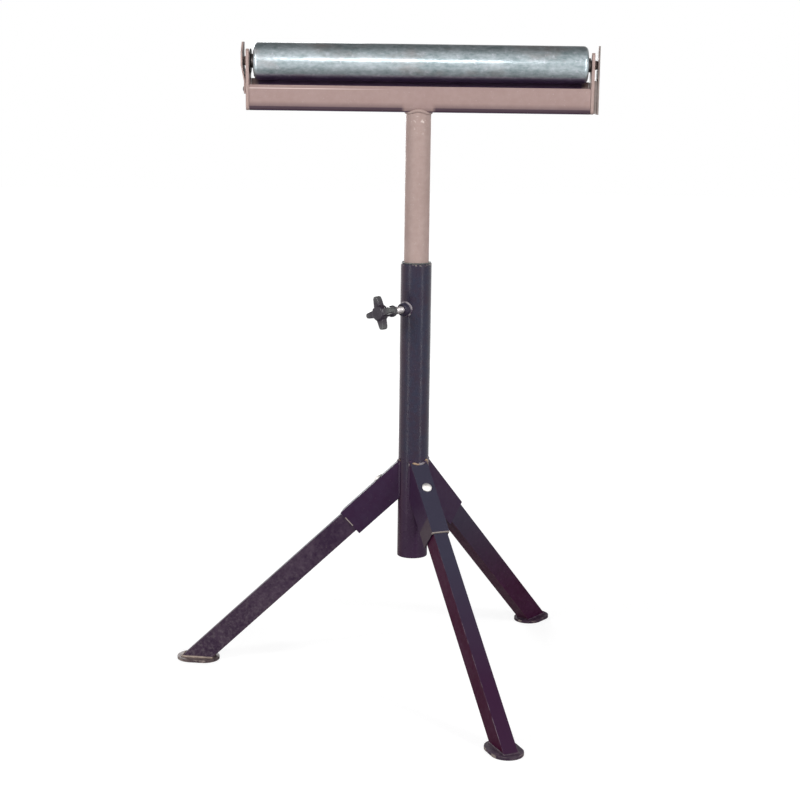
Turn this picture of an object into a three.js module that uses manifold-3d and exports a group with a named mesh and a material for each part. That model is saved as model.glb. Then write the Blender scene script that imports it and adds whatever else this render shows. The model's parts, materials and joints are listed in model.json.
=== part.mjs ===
// Tripod roller stand: a free-turning roller in a cradle, on a post that slides and turns in a three-legged base.
// Millimetres, +Z up. X runs along the roller. The origin is on the floor under the middle of the whole stand.
import * as THREE from "three";
import { mergeVertices } from "three/addons/utils/BufferGeometryUtils.js";
import Module from "manifold-3d";

// Fits
const SEAT_GAP = 0.3; // between pieces that rest on, butt against or are fixed in each other
const RUNNING_GAP = 0.35; // between pieces that turn or slide in each other
const HOLE_CLEARANCE = 0.4; // around a screw or bolt in a plain hole

// Roller: a steel tube whose ends are curled in over the bearings
const ROLLER_DIAMETER = 48.3;
const ROLLER_LENGTH = 434;
const ROLLER_WALL = 1.6;
const ROLLER_CURL = 6;

// Ball bearing in each end of the roller
const BALL_DIAMETER = 7;
const BALL_COUNT = 8;
const BALL_CIRCLE = 24;
const CAGE_THICKNESS = 1.6;
const CUP_WIDTH = 12;
const GROOVE_WIDTH = 8;
const CUP_LIP = 2;
const HUB_DIAMETER = 18;
const HUB_OVERHANG = 3.6;

// Axle and the washer at its left end
const AXLE_DIAMETER = 12;
const AXLE_CHAMFER = 1;
const WASHER_DIAMETER = 32;
const WASHER_THICKNESS = 1.2;

// Cradle: a channel bent from sheet, its back edge higher than its leaning front edge
const CRADLE_DEPTH = 35;
const CRADLE_SHEET = 3;
const CRADLE_BEND = 6;
const CRADLE_FRONT_HEIGHT = 33;
const CRADLE_BACK_HEIGHT = 41;
const LIP_RISE = 3.6;
const LIP_LEAN = 2;
const AXLE_ABOVE_CRADLE = 63;
const CRADLE_SHIFT = 1.2; // to the right of the post

// End plates with a seat that the axle drops into, higher at the front than at the back
const PLATE_THICKNESS = 4;
const PRONG_HEIGHT = 15.5;
const PRONG_CHAMFER = 3;
const PRONG_TIP = 2;
const LEAD_IN_DEPTH = 8;
const BACK_PRONG_HEIGHT = 3;
const BACK_PRONG_LEAN = 5;

// Plates that hold the axle endwise, at heights above and below it
const KEEPER_THICKNESS = 2.2;
const KEEPER_DEPTH = 31;
const KEEPER_STANDOFF = 4.4;
const KEEPER_HIGH = 24.4;

// On the left a keeper, held by a screw and stepped outwards around the axle
const KEEPER_STEP_TOP = -6;
const KEEPER_STEP_BOTTOM = -26;
const KEEPER_LOW = -42;
const KEEPER_FRONT_TOP = 11;
const KEEPER_SCREW_DROP = 36;
const KEEPER_SCREW_DIAMETER = 4;
const KEEPER_SCREW_HEAD = 7.5;
const KEEPER_SCREW_HEAD_HEIGHT = 2.4;

// On the right a fixed stop on a spacer
const STOP_FINGER = 6;
const STOP_SHOULDER = -20;
const STOP_WAIST = 10;
const SPACER_INSET = 1;

// Post and the column that it slides and turns in
const POST_DIAMETER = 33;
const POST_WALL = 2.5;
const POST_EXPOSED = 198;
const POST_INSERTION = 300;
const COLUMN_DIAMETER = 41;
const COLUMN_LENGTH = 402;
const COLUMN_TAIL = 132;

// Guide bush in the mouth of the column
const BUSH_WALL = 1.2;
const BUSH_LENGTH = 40;
const BUSH_FLANGE_THICKNESS = 1.5;
const BUSH_FLANGE_DIAMETER = 39.4;

// Clamp screw through the side of the column
const CLAMP_AZIMUTH = -131;
const CLAMP_DROP = 60;
const BOSS_DIAMETER = 17.5;
const BOSS_REACH = 29;
const BOSS_CHAMFER = 1.5;
const STUD_DIAMETER = 10;
const STUD_EXPOSED = 14;
const STUD_ENGAGEMENT = 14;
const PAD_THICKNESS = 2.4;

// Knob: a ball-shaped hub carrying four rounded arms
const KNOB_ANGLE = 17;
const KNOB_HUB_DIAMETER = 16;
const KNOB_HUB_LENGTH = 20.5;
const KNOB_HUB_CUT = 36; // degrees off the middle of the ball where its face and its neck begin
const KNOB_SPAN = 45;
const KNOB_THICKNESS = 13;
const KNOB_CORE_DIAMETER = 21;
const KNOB_ARM_ROOT = 12.5;
const KNOB_ARM_TIP = 7.6;
const KNOB_EDGE = 1.8;
const KNOB_ARMS = 4;

// Legs: rectangular tubes at one slope, spread evenly around the column
const LEG_WIDTH = 20;
const LEG_DEPTH = 30;
const LEG_WALL = 2;
const LEG_SLOPE = 43.96;
const LEG_COLUMN_GAP = 3;
const FOOT_RADIUS = 303;
const FOOT_LENGTH = 60;
const FOOT_WIDTH = 42;
const FOOT_THICKNESS = 4;
const LEGS = [
  { name: "front", azimuth: -67.2 },
  { name: "rear", azimuth: 52.8 },
  { name: "left", azimuth: 172.8 },
];

// Sleeve brackets: U sections over the legs, open underneath
const SLEEVE_WALL = 2;
const SLEEVE_DEPTH = 38.3;
const SLEEVE_LENGTH = 108;

// Bolt through each sleeve and the upper wall of its leg, into a nut fixed inside the leg
const BOLT_DIAMETER = 8;
const BOLT_HEAD_DIAMETER = 13.4;
const BOLT_HEAD_HEIGHT = 4;
const BOLT_HEAD_RIM = 0.8;
const BOLT_FROM_COLUMN = 38;
const BOLT_POINT = 2;
const NUT_ACROSS_FLATS = 13;
const NUT_HEIGHT = 6.5;

// How finely round shapes are divided
const LARGE_ROUND = 40;
const SMALL_ROUND = 20;
const HALF_ROUND = 10;
const BALL_ROUND = 8;
const BALL_RINGS = 6;
const CORNER_STEPS = 4;
const MERGE_DISTANCE = 1e-4;

// Colours and surfaces
const BLACK_PAINT = { color: 0x1b1a1d, roughness: 0.5, metalness: 0.1 };
const TAUPE_PAINT = { color: 0x8f8480, roughness: 0.55, metalness: 0.1 };
const ZINC = { color: 0x8b9697, roughness: 0.42, metalness: 0.9 };
const BRIGHT_STEEL = { color: 0xc6c2ba, roughness: 0.3, metalness: 1 };
const DARK_STEEL = { color: 0x4a4747, roughness: 0.5, metalness: 0.8 };
const BLACK_PLASTIC = { color: 0x161616, roughness: 0.45, metalness: 0 };

// Sizes that follow from the ones above
const rollerRadius = ROLLER_DIAMETER / 2;
const axleRadius = AXLE_DIAMETER / 2;
const ballRadius = BALL_DIAMETER / 2;
const postRadius = POST_DIAMETER / 2;
const bushBore = postRadius + RUNNING_GAP;
const columnRadius = COLUMN_DIAMETER / 2;
const columnBore = bushBore + BUSH_WALL + RUNNING_GAP;
const slope = THREE.MathUtils.degToRad(LEG_SLOPE);
const halfDepth = CRADLE_DEPTH / 2;
const plateSpan = ROLLER_LENGTH + 2 * HUB_OVERHANG + WASHER_THICKNESS + 3 * SEAT_GAP;
const plateInner = plateSpan / 2;
const plateOuter = plateInner + PLATE_THICKNESS;
const rollerShift = (WASHER_THICKNESS + SEAT_GAP) / 2;
const axleHalf = plateOuter + KEEPER_STANDOFF - SEAT_GAP;
const legTop = LEG_DEPTH / 2;
const sleeveTop = legTop + SEAT_GAP + SLEEVE_WALL;
const sleeveBottom = sleeveTop - SLEEVE_DEPTH;
const footTop = FOOT_THICKNESS;
const sleeveMeet = (FOOT_RADIUS - columnRadius + sleeveTop * Math.sin(slope)) / Math.cos(slope);
const sleeveMeetHeight = footTop + sleeveMeet * Math.sin(slope) + sleeveTop * Math.cos(slope);
const boltPlace = sleeveMeet - BOLT_FROM_COLUMN;
const columnBottom = sleeveMeetHeight - COLUMN_TAIL;
const columnTop = columnBottom + COLUMN_LENGTH;
const cradleBottom = columnTop + POST_EXPOSED;
const axleHeight = cradleBottom + AXLE_ABOVE_CRADLE;
const clampHeight = columnTop - CLAMP_DROP;
const padInner = postRadius + SEAT_GAP;
const studInner = padInner + PAD_THICKNESS + SEAT_GAP;
const hubInner = BOSS_REACH + STUD_EXPOSED;
const knobInner = hubInner + KNOB_HUB_LENGTH;
const far = 2 * FOOT_RADIUS;

const wasm = await Module();
wasm.setup();

// A closed geometry as a solid that can be cut and joined
function solidOf(geometry) {
  const bare = geometry.index ? geometry.toNonIndexed() : geometry.clone();
  bare.deleteAttribute("normal");
  bare.deleteAttribute("uv");
  const merged = mergeVertices(bare, MERGE_DISTANCE);
  const vertProperties = merged.attributes.position.array;
  const triVerts = new Uint32Array(merged.index.array);
  return new wasm.Manifold(new wasm.Mesh({ numProp: 3, vertProperties, triVerts }));
}

// A solid as a flat-shaded geometry
function geometryOf(solid) {
  const { vertProperties, triVerts } = solid.getMesh();
  const indexed = new THREE.BufferGeometry();
  indexed.setAttribute("position", new THREE.BufferAttribute(new Float32Array(vertProperties), 3));
  indexed.setIndex(new THREE.BufferAttribute(new Uint32Array(triVerts), 1));
  const geometry = indexed.toNonIndexed();
  geometry.computeVertexNormals();
  return geometry;
}

// An outline of [radius, height] points turned about Z
function turned(outline, segments) {
  const points = outline.map(([radius, height]) => new THREE.Vector2(radius, height));
  return new THREE.LatheGeometry(points, segments).rotateX(Math.PI / 2);
}

// A round bar along Z
function bar(radius, bottom, top, segments) {
  const outline = [[0, bottom], [radius, bottom], [radius, top], [0, top]];
  return turned(outline, segments);
}

// A tube along Z
function tube(outer, inner, bottom, top, segments) {
  const outline = [[inner, bottom], [outer, bottom], [outer, top], [inner, top], [inner, bottom]];
  return turned(outline, segments);
}

// A block between two corners
function block(low, high) {
  const size = high.map((value, axis) => value - low[axis]);
  const middle = high.map((value, axis) => (value + low[axis]) / 2);
  return new THREE.BoxGeometry(...size).translate(...middle);
}

// A flat outline of [x, y] points
function outlineOf(points) {
  return new THREE.Shape(points.map(([x, y]) => new THREE.Vector2(x, y)));
}

// An outline pushed straight up Z
function prism(shape, bottom, top) {
  const settings = { depth: top - bottom, bevelEnabled: false, curveSegments: HALF_ROUND };
  return new THREE.ExtrudeGeometry(shape, settings).translate(0, 0, bottom);
}

// An outline drawn in Y and Z, pushed along X
function prismAlongX(points, start, end) {
  const axes = new THREE.Matrix4().makeBasis(
    new THREE.Vector3(0, 1, 0),
    new THREE.Vector3(0, 0, 1),
    new THREE.Vector3(1, 0, 0),
  );
  return prism(outlineOf(points), start, end).applyMatrix4(axes);
}

// An outline drawn in X and Z, pushed along Y
function prismAlongY(points, start, end) {
  return prism(outlineOf(points), -end, -start).rotateX(Math.PI / 2);
}

// Points of an arc, in degrees
function arc(x, y, radius, from, to) {
  const points = [];
  for (let step = 0; step <= CORNER_STEPS; step += 1) {
    const angle = THREE.MathUtils.degToRad(from + ((to - from) * step) / CORNER_STEPS);
    points.push([x + radius * Math.cos(angle), y + radius * Math.sin(angle)]);
  }
  return points;
}

// A shape turned about Z laid along X instead
function alongX(geometry) {
  return geometry.rotateY(Math.PI / 2);
}

// A shape drawn along a leg: X up the leg from its foot, Z out of its upper face
function alongLeg(geometry) {
  const axes = new THREE.Matrix4().makeBasis(
    new THREE.Vector3(-Math.cos(slope), 0, Math.sin(slope)),
    new THREE.Vector3(0, -1, 0),
    new THREE.Vector3(Math.sin(slope), 0, Math.cos(slope)),
  );
  axes.setPosition(FOOT_RADIUS, 0, footTop);
  return geometry.applyMatrix4(axes);
}

// A ring of six flats around a bore
function hexNut(acrossFlats, bore, bottom, top) {
  const corner = acrossFlats / Math.sqrt(3);
  const shape = new THREE.Shape();
  for (let side = 0; side < 6; side += 1) {
    const angle = (side * Math.PI) / 3;
    const place = [corner * Math.cos(angle), corner * Math.sin(angle)];
    if (side === 0) {
      shape.moveTo(...place);
    } else {
      shape.lineTo(...place);
    }
  }
  shape.closePath();
  const hole = new THREE.Path();
  hole.absarc(0, 0, bore, 0, 2 * Math.PI, true);
  shape.holes.push(hole);
  return prism(shape, bottom, top);
}

const stand = new THREE.Group();

// Name a piece, give it a surface of its own and put it in a group
function place(group, name, solid, surface) {
  const mesh = new THREE.Mesh(geometryOf(solid), new THREE.MeshStandardMaterial(surface));
  mesh.name = name;
  group.add(mesh);
}

// Base: column with its stud hole
const column = new THREE.Group();
stand.add(column);
const clampAngle = THREE.MathUtils.degToRad(CLAMP_AZIMUTH);
const studHole = alongX(bar(STUD_DIAMETER / 2 + HOLE_CLEARANCE, 0, BOSS_REACH, SMALL_ROUND));
const columnTube = solidOf(tube(columnRadius, columnBore, columnBottom, columnTop, LARGE_ROUND));
const columnHole = studHole.clone().rotateZ(clampAngle).translate(0, 0, clampHeight);
place(column, "column_tube", columnTube.subtract(solidOf(columnHole)), BLACK_PAINT);

// Bush: a flanged liner between the column and the post
const bushOuter = bushBore + BUSH_WALL;
const flangeBottom = columnTop + SEAT_GAP;
const flangeTop = flangeBottom + BUSH_FLANGE_THICKNESS;
const bushOutline = [
  [bushBore, columnTop - BUSH_LENGTH],
  [bushOuter, columnTop - BUSH_LENGTH],
  [bushOuter, flangeBottom],
  [BUSH_FLANGE_DIAMETER / 2, flangeBottom],
  [BUSH_FLANGE_DIAMETER / 2, flangeTop],
  [bushBore, flangeTop],
  [bushBore, columnTop - BUSH_LENGTH],
];
place(column, "guide_bush", solidOf(turned(bushOutline, LARGE_ROUND)), BLACK_PLASTIC);

// Clamp: boss on the column, stud, pressure pad and knob, drawn along X and turned to face front left
const clamp = new THREE.Group();
clamp.position.z = clampHeight;
clamp.rotation.z = clampAngle;
stand.add(clamp);
const bossRadius = BOSS_DIAMETER / 2;
const bossOutline = [
  [0, 0],
  [bossRadius, 0],
  [bossRadius, BOSS_REACH - BOSS_CHAMFER],
  [bossRadius - BOSS_CHAMFER, BOSS_REACH],
  [0, BOSS_REACH],
];
const columnRoom = solidOf(bar(columnRadius + SEAT_GAP, -far, far, LARGE_ROUND));
const boss = solidOf(alongX(turned(bossOutline, SMALL_ROUND)))
  .subtract(columnRoom)
  .subtract(solidOf(alongX(bar(STUD_DIAMETER / 2 + HOLE_CLEARANCE, 0, far, SMALL_ROUND))));
place(clamp, "clamp_boss", boss, BLACK_PAINT);
const pad = bar(STUD_DIAMETER / 2, padInner, padInner + PAD_THICKNESS, SMALL_ROUND);
place(clamp, "clamp_pad", solidOf(alongX(pad)), BRIGHT_STEEL);
const studOuter = hubInner + STUD_ENGAGEMENT;
const stud = bar(STUD_DIAMETER / 2, studInner, studOuter, SMALL_ROUND);
place(clamp, "clamp_stud", solidOf(alongX(stud)), BRIGHT_STEEL);

// Knob: arms with rounded tips around a core, on a rounded hub with a blind hole for the stud
const hubRadius = KNOB_HUB_DIAMETER / 2;
const hubCut = THREE.MathUtils.degToRad(KNOB_HUB_CUT);
const hubCentre = hubInner + hubRadius * Math.sin(hubCut);
const hubOutline = [
  [0, hubInner],
  ...arc(0, hubCentre, hubRadius, -KNOB_HUB_CUT, KNOB_HUB_CUT),
  [hubRadius * Math.cos(hubCut), knobInner + KNOB_EDGE],
  [0, knobInner + KNOB_EDGE],
];
const tipRadius = KNOB_ARM_TIP / 2;
const tipCentre = KNOB_SPAN / 2 - tipRadius;
const armOutline = [
  [0, KNOB_ARM_ROOT / 2],
  [0, -KNOB_ARM_ROOT / 2],
  ...arc(tipCentre, 0, tipRadius, -90, 90),
];
const knobOuter = knobInner + KNOB_THICKNESS;
const coreRadius = KNOB_CORE_DIAMETER / 2;
const coreOutline = [
  [0, knobInner],
  [coreRadius - KNOB_EDGE, knobInner],
  [coreRadius, knobInner + KNOB_EDGE],
  [coreRadius, knobOuter - KNOB_EDGE],
  [coreRadius - KNOB_EDGE, knobOuter],
  [0, knobOuter],
];
const studRoom = bar(STUD_DIAMETER / 2 + SEAT_GAP, 0, studOuter + SEAT_GAP, SMALL_ROUND);
let knob = solidOf(turned(hubOutline, SMALL_ROUND)).add(solidOf(turned(coreOutline, SMALL_ROUND)));
for (let arm = 0; arm < KNOB_ARMS; arm += 1) {
  const shape = prism(outlineOf(armOutline), knobInner + KNOB_EDGE, knobOuter - KNOB_EDGE);
  knob = knob.add(solidOf(shape.rotateZ((2 * Math.PI * arm) / KNOB_ARMS)));
}
const knobShape = geometryOf(knob.subtract(solidOf(studRoom)));
knobShape.applyMatrix4(new THREE.Matrix4().makeRotationY(Math.PI / 2));
knobShape.rotateX(THREE.MathUtils.degToRad(KNOB_ANGLE));
place(clamp, "clamp_knob", solidOf(knobShape), BLACK_PLASTIC);

// Legs, sleeves, bolts and feet, drawn out along X and turned to each side
const legHalf = LEG_WIDTH / 2;
const legInnerHalf = legHalf - LEG_WALL;
const legInnerTop = legTop - LEG_WALL;
const legReach = sleeveMeet + LEG_DEPTH;
const sleeveInner = legHalf + SEAT_GAP;
const sleeveOuter = sleeveInner + SLEEVE_WALL;
const sleeveEnd = sleeveMeet - SLEEVE_LENGTH;
const boltRadius = BOLT_DIAMETER / 2;
const boltHole = alongLeg(
  bar(boltRadius + HOLE_CLEARANCE, 0, LEG_DEPTH, SMALL_ROUND).translate(boltPlace, 0, 0),
);
const belowFloorPlate = block([-far, -far, -far], [far, far, footTop + SEAT_GAP]);
const inColumn = block([-far, -far, -far], [columnRadius + LEG_COLUMN_GAP, far, far]);
const behindAxis = block([-far, -far, -far], [0, far, far]);

const legTube = solidOf(alongLeg(block([-LEG_DEPTH * 2, -legHalf, -legTop], [legReach, legHalf, legTop])))
  .subtract(solidOf(alongLeg(block([-far, -legInnerHalf, -legInnerTop], [far, legInnerHalf, legInnerTop]))))
  .subtract(solidOf(belowFloorPlate))
  .subtract(solidOf(inColumn))
  .subtract(solidOf(boltHole));

const sleeveReach = sleeveMeet + SLEEVE_DEPTH + COLUMN_DIAMETER;
const sleeve = solidOf(
  alongLeg(block([sleeveEnd, -sleeveOuter, sleeveBottom], [sleeveReach, sleeveOuter, sleeveTop])),
)
  .subtract(solidOf(alongLeg(block([-far, -sleeveInner, -far], [far, sleeveInner, legTop + SEAT_GAP]))))
  .subtract(solidOf(behindAxis))
  .subtract(columnRoom)
  .subtract(solidOf(boltHole));

const nutTop = legInnerTop - SEAT_GAP;
const nutBottom = nutTop - NUT_HEIGHT;
const headBottom = sleeveTop + SEAT_GAP;
const headRadius = BOLT_HEAD_DIAMETER / 2;
const domeRise = BOLT_HEAD_HEIGHT - BOLT_HEAD_RIM;
const domeRadius = (headRadius * headRadius + domeRise * domeRise) / (2 * domeRise);
const domeCentre = headBottom + BOLT_HEAD_HEIGHT - domeRadius;
const domeStart = THREE.MathUtils.radToDeg(Math.acos(headRadius / domeRadius));
const boltOutline = [
  [0, nutBottom - BOLT_POINT],
  [boltRadius, nutBottom - BOLT_POINT],
  [boltRadius, headBottom],
  [headRadius, headBottom],
  ...arc(0, domeCentre, domeRadius, domeStart, 90).slice(0, -1),
  [0, headBottom + BOLT_HEAD_HEIGHT],
];
const bolt = turned(boltOutline, SMALL_ROUND);
const boltBore = boltRadius + SEAT_GAP;
const nut = hexNut(NUT_ACROSS_FLATS, boltBore, nutBottom, nutTop);

const footRound = FOOT_WIDTH / 2;
const footShape = new THREE.Shape();
const footStraight = (FOOT_LENGTH - FOOT_WIDTH) / 2;
footShape.absarc(footStraight, 0, footRound, -Math.PI / 2, Math.PI / 2, false);
footShape.absarc(-footStraight, 0, footRound, Math.PI / 2, (3 * Math.PI) / 2, false);
const foot = prism(footShape, 0, FOOT_THICKNESS).translate(FOOT_RADIUS, 0, 0);

for (const { name, azimuth } of LEGS) {
  const side = new THREE.Group();
  side.rotation.z = THREE.MathUtils.degToRad(azimuth);
  stand.add(side);
  place(side, `sleeve_${name}`, sleeve, BLACK_PAINT);
  place(side, `leg_${name}`, legTube, BLACK_PAINT);
  const atBolt = (geometry) => solidOf(alongLeg(geometry.clone().translate(boltPlace, 0, 0)));
  place(side, `bolt_${name}`, atBolt(bolt), BRIGHT_STEEL);
  place(side, `bolt_nut_${name}`, atBolt(nut), BRIGHT_STEEL);
  place(side, `foot_${name}`, solidOf(foot), BLACK_PAINT);
}

// Head: post whose top is cut to fit around the underside of the cradle
const roomHalf = halfDepth + SEAT_GAP;
const roomBend = CRADLE_BEND + SEAT_GAP;
const roomBottom = cradleBottom - SEAT_GAP;
const cradleRoom = [
  ...arc(-roomHalf + roomBend, roomBottom + roomBend, roomBend, 180, 270),
  ...arc(roomHalf - roomBend, roomBottom + roomBend, roomBend, 270, 360),
  [roomHalf, axleHeight],
  [-roomHalf, axleHeight],
];
const postBottom = columnTop - POST_INSERTION;
const postTop = cradleBottom + CRADLE_BEND;
const post = solidOf(tube(postRadius, postRadius - POST_WALL, postBottom, postTop, LARGE_ROUND))
  .subtract(solidOf(prismAlongX(cradleRoom, -ROLLER_LENGTH, ROLLER_LENGTH)));
place(stand, "post_tube", post, TAUPE_PAINT);

// Cradle channel between the end plates, drawn with its bottom at height zero
const innerHalf = halfDepth - CRADLE_SHEET;
const innerBend = CRADLE_BEND - CRADLE_SHEET;
const lipStart = CRADLE_FRONT_HEIGHT - LIP_RISE;
const channelOutline = [
  [-halfDepth + LIP_LEAN, CRADLE_FRONT_HEIGHT],
  [-halfDepth, lipStart],
  ...arc(-halfDepth + CRADLE_BEND, CRADLE_BEND, CRADLE_BEND, 180, 270),
  ...arc(halfDepth - CRADLE_BEND, CRADLE_BEND, CRADLE_BEND, 270, 360),
  [halfDepth, CRADLE_BACK_HEIGHT],
  [innerHalf, CRADLE_BACK_HEIGHT],
  ...arc(innerHalf - innerBend, CRADLE_SHEET + innerBend, innerBend, 360, 270),
  ...arc(-innerHalf + innerBend, CRADLE_SHEET + innerBend, innerBend, 270, 180),
  [-innerHalf, lipStart],
  [-innerHalf + LIP_LEAN, CRADLE_FRONT_HEIGHT],
];
const channelEnd = plateInner - SEAT_GAP;
const channel = prismAlongX(channelOutline, -channelEnd, channelEnd)
  .translate(CRADLE_SHIFT, 0, cradleBottom);
place(stand, "cradle_channel", solidOf(channel), TAUPE_PAINT);

// Everything around the axle, drawn with the axle along X through the origin
const head = new THREE.Group();
head.position.set(CRADLE_SHIFT, 0, axleHeight);
stand.add(head);

// End plates: rounded below like the channel, open above for the axle
const slotHalf = axleRadius + HOLE_CLEARANCE;
const slotFloor = slotHalf - axleRadius - SEAT_GAP;
const plateFront = -halfDepth;
const tipStart = plateFront + PRONG_CHAMFER;
const plateOutline = [
  [tipStart, PRONG_HEIGHT],
  [plateFront, PRONG_HEIGHT - PRONG_CHAMFER],
  ...arc(plateFront + CRADLE_BEND, CRADLE_BEND - AXLE_ABOVE_CRADLE, CRADLE_BEND, 180, 270),
  ...arc(halfDepth - CRADLE_BEND, CRADLE_BEND - AXLE_ABOVE_CRADLE, CRADLE_BEND, 270, 360),
  [halfDepth, CRADLE_BACK_HEIGHT - AXLE_ABOVE_CRADLE],
  [halfDepth - BACK_PRONG_LEAN, BACK_PRONG_HEIGHT],
  [slotHalf, BACK_PRONG_HEIGHT],
  ...arc(0, slotFloor, slotHalf, 360, 270),
  ...arc(0, slotFloor, slotHalf, 270, 180).slice(1),
  [-slotHalf, PRONG_HEIGHT - LEAD_IN_DEPTH],
  [tipStart + PRONG_TIP, PRONG_HEIGHT],
];
const plate = solidOf(prismAlongX(plateOutline, plateInner, plateOuter));
const keeperLow = plateOuter + SEAT_GAP;
const keeperHigh = plateOuter + KEEPER_STANDOFF;
const keeperHalf = KEEPER_DEPTH / 2;

// Right end: a straight stop, narrow at the top, on a spacer as high as the channel
const stopOutline = [
  [-keeperHalf, -AXLE_ABOVE_CRADLE],
  [keeperHalf, -AXLE_ABOVE_CRADLE],
  [keeperHalf, STOP_SHOULDER],
  [0, STOP_WAIST],
  [-keeperHalf + STOP_FINGER, KEEPER_HIGH],
  [-keeperHalf, KEEPER_HIGH],
];
const stop = prismAlongX(stopOutline, keeperHigh, keeperHigh + KEEPER_THICKNESS);
const spacerHalf = keeperHalf - SPACER_INSET;
const spacer = block(
  [keeperLow, -spacerHalf, SPACER_INSET - AXLE_ABOVE_CRADLE],
  [keeperHigh - SEAT_GAP, spacerHalf, STOP_SHOULDER],
);
place(head, "end_plate_right", plate, TAUPE_PAINT);
place(head, "stop_spacer_right", solidOf(spacer), TAUPE_PAINT);
place(head, "axle_stop_right", solidOf(stop), TAUPE_PAINT);

// Left end, drawn on the right and mirrored: a stepped keeper, lower at the front, with its screw
const keeperStep = [
  [keeperLow, KEEPER_LOW],
  [keeperLow + KEEPER_THICKNESS, KEEPER_LOW],
  [keeperLow + KEEPER_THICKNESS, KEEPER_STEP_BOTTOM],
  [keeperHigh + KEEPER_THICKNESS, KEEPER_STEP_TOP],
  [keeperHigh + KEEPER_THICKNESS, KEEPER_HIGH],
  [keeperHigh, KEEPER_HIGH],
  [keeperHigh, KEEPER_STEP_TOP],
  [keeperLow, KEEPER_STEP_BOTTOM],
];
const keeperOutline = [
  [-keeperHalf, KEEPER_LOW],
  [keeperHalf, KEEPER_LOW],
  [keeperHalf, KEEPER_HIGH],
  [0, KEEPER_HIGH],
  [-keeperHalf, KEEPER_FRONT_TOP],
];
const screwRadius = KEEPER_SCREW_DIAMETER / 2;
const screwHole = alongX(bar(screwRadius + HOLE_CLEARANCE, 0, far, SMALL_ROUND));
const screwRoom = solidOf(screwHole.translate(0, 0, -KEEPER_SCREW_DROP));
const keeper = solidOf(prismAlongY(keeperStep, -halfDepth, halfDepth))
  .intersect(solidOf(prismAlongX(keeperOutline, 0, far)))
  .subtract(screwRoom);
const screwSeat = keeperLow + KEEPER_THICKNESS + SEAT_GAP;
const screwOutline = [
  [0, plateInner],
  [screwRadius, plateInner],
  [screwRadius, screwSeat],
  [KEEPER_SCREW_HEAD / 2, screwSeat],
  [KEEPER_SCREW_HEAD / 2, screwSeat + KEEPER_SCREW_HEAD_HEIGHT / 2],
  [KEEPER_SCREW_HEAD / 4, screwSeat + KEEPER_SCREW_HEAD_HEIGHT],
  [0, screwSeat + KEEPER_SCREW_HEAD_HEIGHT],
];
const screw = alongX(turned(screwOutline, SMALL_ROUND)).translate(0, 0, -KEEPER_SCREW_DROP);
const toLeft = [1, 0, 0];
place(head, "end_plate_left", plate.subtract(screwRoom).mirror(toLeft), TAUPE_PAINT);
place(head, "keeper_plate_left", keeper.mirror(toLeft), TAUPE_PAINT);
place(head, "keeper_screw_left", solidOf(screw).mirror(toLeft), DARK_STEEL);

// Axle between keeper and stop, with its washer against the left end plate
const axleOutline = [
  [0, -axleHalf],
  [axleRadius - AXLE_CHAMFER, -axleHalf],
  [axleRadius, -axleHalf + AXLE_CHAMFER],
  [axleRadius, axleHalf - AXLE_CHAMFER],
  [axleRadius - AXLE_CHAMFER, axleHalf],
  [0, axleHalf],
];
place(head, "axle", solidOf(alongX(turned(axleOutline, SMALL_ROUND))), DARK_STEEL);
const washerSeat = -plateInner + SEAT_GAP;
const axleBore = axleRadius + SEAT_GAP;
const washerEnd = washerSeat + WASHER_THICKNESS;
const washerShape = tube(WASHER_DIAMETER / 2, axleBore, washerSeat, washerEnd, SMALL_ROUND);
place(head, "axle_washer", solidOf(alongX(washerShape)), DARK_STEEL);

// Roller tube, curled in at both ends
const rollerEnd = ROLLER_LENGTH / 2;
const curlCentre = rollerRadius - ROLLER_CURL;
const curlStart = rollerEnd - ROLLER_CURL;
const innerCurl = ROLLER_CURL - ROLLER_WALL;
const rollerOutline = [
  ...arc(curlCentre, -curlStart, ROLLER_CURL, -90, 0),
  ...arc(curlCentre, curlStart, ROLLER_CURL, 0, 90),
  ...arc(curlCentre, curlStart, innerCurl, 90, 0),
  ...arc(curlCentre, -curlStart, innerCurl, 0, -90),
  [curlCentre, -rollerEnd],
];
const roller = new THREE.Group();
roller.position.x = rollerShift;
head.add(roller);
place(roller, "roller_tube", solidOf(alongX(turned(rollerOutline, LARGE_ROUND))), ZINC);

// Bearing cup inside the roller, cone on the axle, and the balls in their cage between them
const cupOuter = rollerRadius - ROLLER_WALL - SEAT_GAP;
const cupEnd = curlStart - SEAT_GAP;
const cupStart = cupEnd - CUP_WIDTH;
const bearingMiddle = (cupStart + cupEnd) / 2;
const grooveStart = bearingMiddle - GROOVE_WIDTH / 2;
const grooveEnd = bearingMiddle + GROOVE_WIDTH / 2;
const cupRace = BALL_CIRCLE / 2 + ballRadius + RUNNING_GAP;
const cupOutline = [
  [cupRace - CUP_LIP, cupStart],
  [cupOuter, cupStart],
  [cupOuter, cupEnd],
  [cupRace - CUP_LIP, cupEnd],
  [cupRace - CUP_LIP, grooveEnd],
  [cupRace, grooveEnd],
  [cupRace, grooveStart],
  [cupRace - CUP_LIP, grooveStart],
  [cupRace - CUP_LIP, cupStart],
];
const coneRace = BALL_CIRCLE / 2 - ballRadius - RUNNING_GAP;
const coneEnd = rollerEnd + HUB_OVERHANG;
const coneOutline = [
  [axleBore, cupStart],
  [HUB_DIAMETER / 2, cupStart],
  [HUB_DIAMETER / 2, grooveStart],
  [coneRace, grooveStart],
  [coneRace, grooveEnd],
  [HUB_DIAMETER / 2, grooveEnd],
  [HUB_DIAMETER / 2, coneEnd],
  [axleBore, coneEnd],
  [axleBore, cupStart],
];
const cageHalf = CAGE_THICKNESS / 2;
const cageMiddle = BALL_CIRCLE / 2;
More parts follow.
